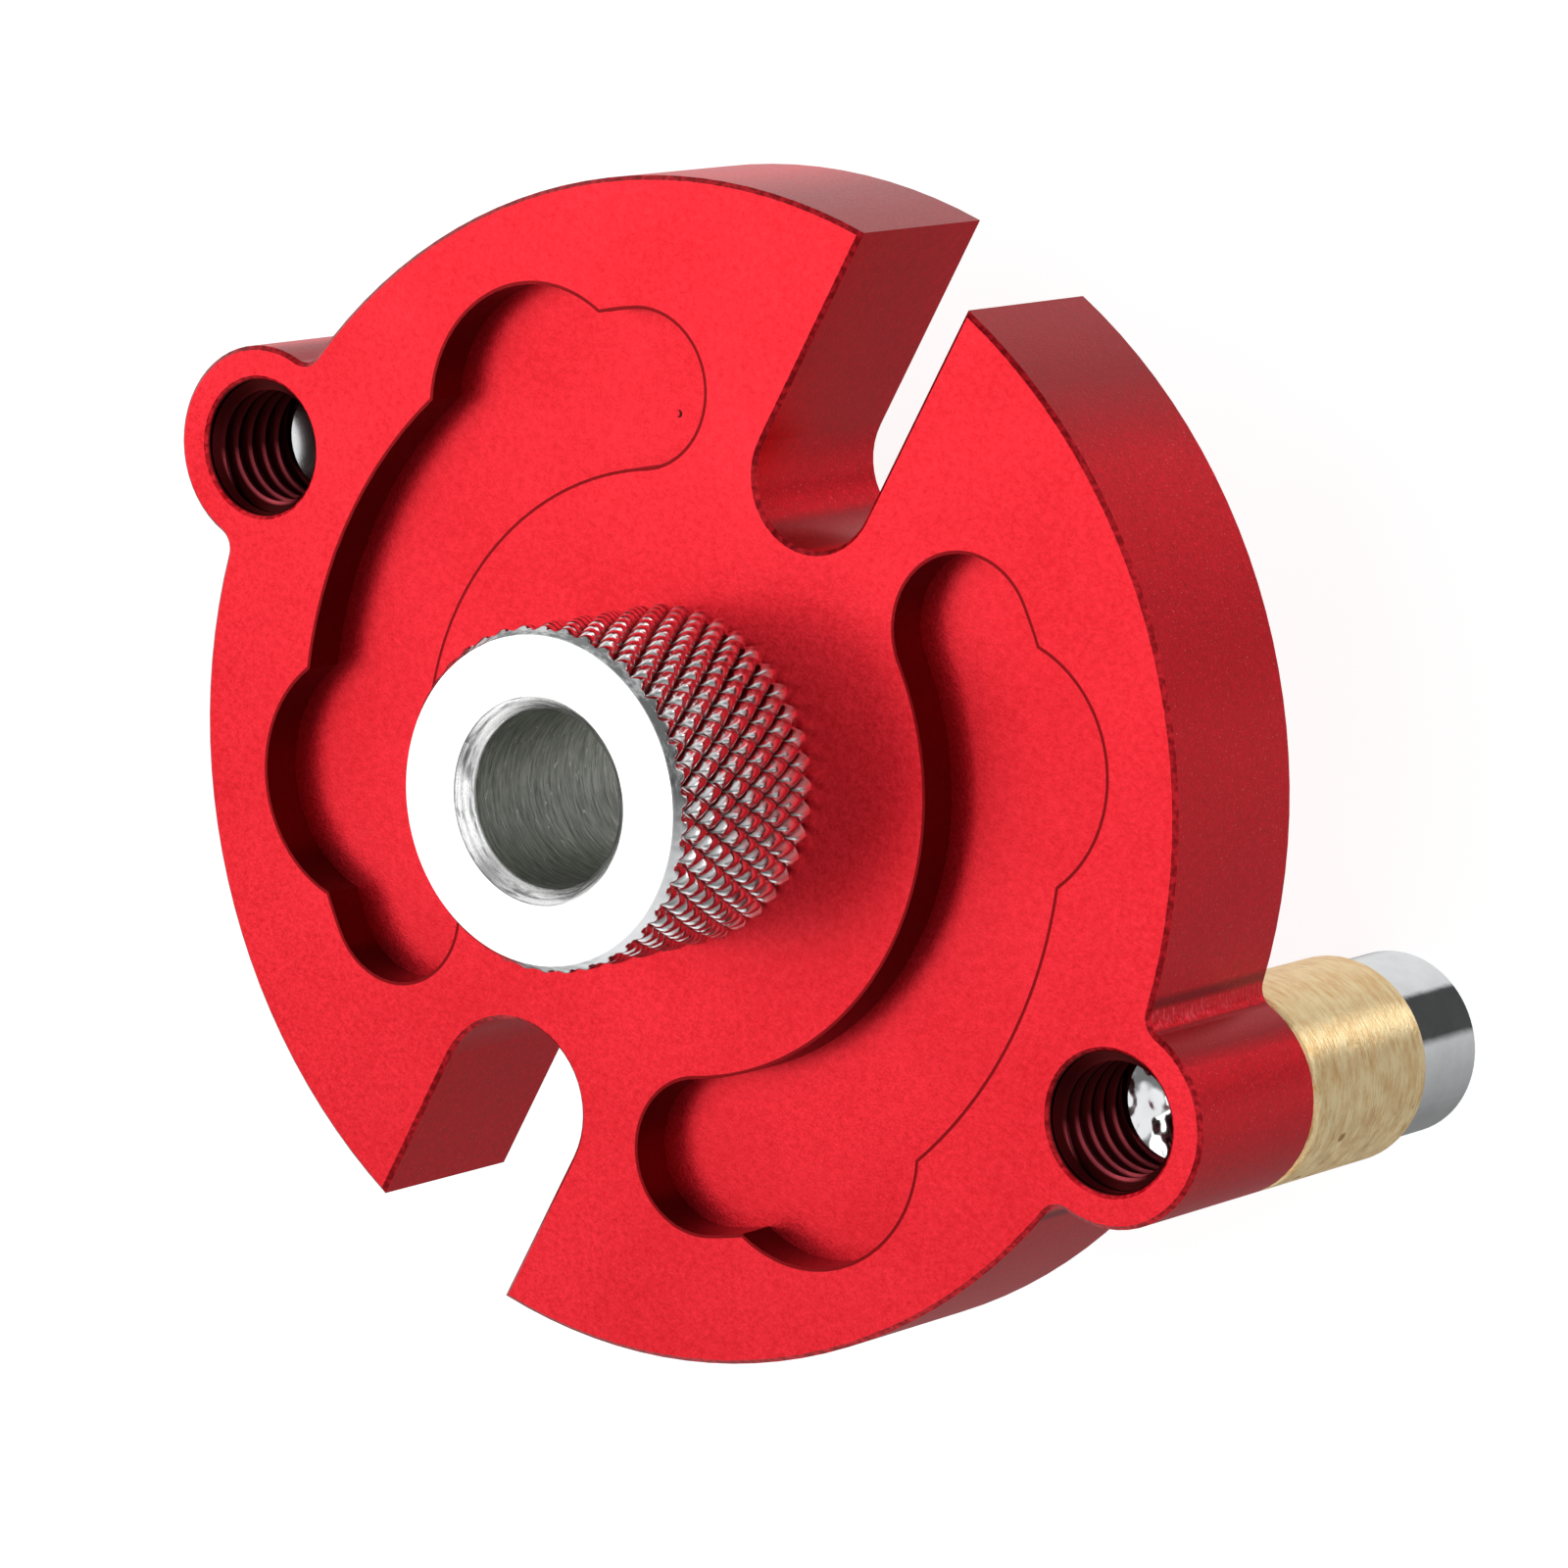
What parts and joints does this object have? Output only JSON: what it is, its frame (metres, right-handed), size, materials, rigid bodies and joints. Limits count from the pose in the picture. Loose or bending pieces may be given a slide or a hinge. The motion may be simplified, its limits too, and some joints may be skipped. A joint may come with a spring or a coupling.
{
  "type": "dowel jig",
  "caption": "Round self-centring dowel jig: a slotted disc plate with a knurled drill bush at its centre and two roller posts that straddle the edge of a board.",
  "frame": {"origin": "on the drill axis, in the plane of the plate's back face, which seats on the board's edge", "axes": "+Z along the drill axis, out of the knurled head of the bush; +X through the right-hand post; +Y out of the narrow slot"},
  "size_m": [0.0804, 0.0674, 0.0435],
  "materials": {
    "anodised_red": "bead-blasted, red anodised",
    "bush_steel": "turned and polished, knurled",
    "post_steel": "polished",
    "roller_brass": "turned, satin"
  },
  "bodies": {
    "jig": {"jig_plate": "anodised_red", "left_post": "post_steel", "right_post": "post_steel"},
    "bush": {"drill_bush": "bush_steel"},
    "left_sleeve": {"left_roller": "roller_brass"},
    "right_sleeve": {"right_roller": "roller_brass"}
  },
  "joints": [
    {"name": "bush_unscrew", "type": "slide", "parent": "jig", "child": "bush", "axis": [0, 0, 1], "range_m": [0, 0.014]},
    {"name": "left_roller_spin", "type": "hinge", "parent": "jig", "child": "left_sleeve", "pos_m": [-0.0342, 0, -0.00625], "axis": [0, 0, 1], "continuous": true},
    {"name": "right_roller_spin", "type": "hinge", "parent": "jig", "child": "right_sleeve", "pos_m": [0.0342, 0, -0.00625], "axis": [0, 0, 1], "continuous": true}
  ]
}
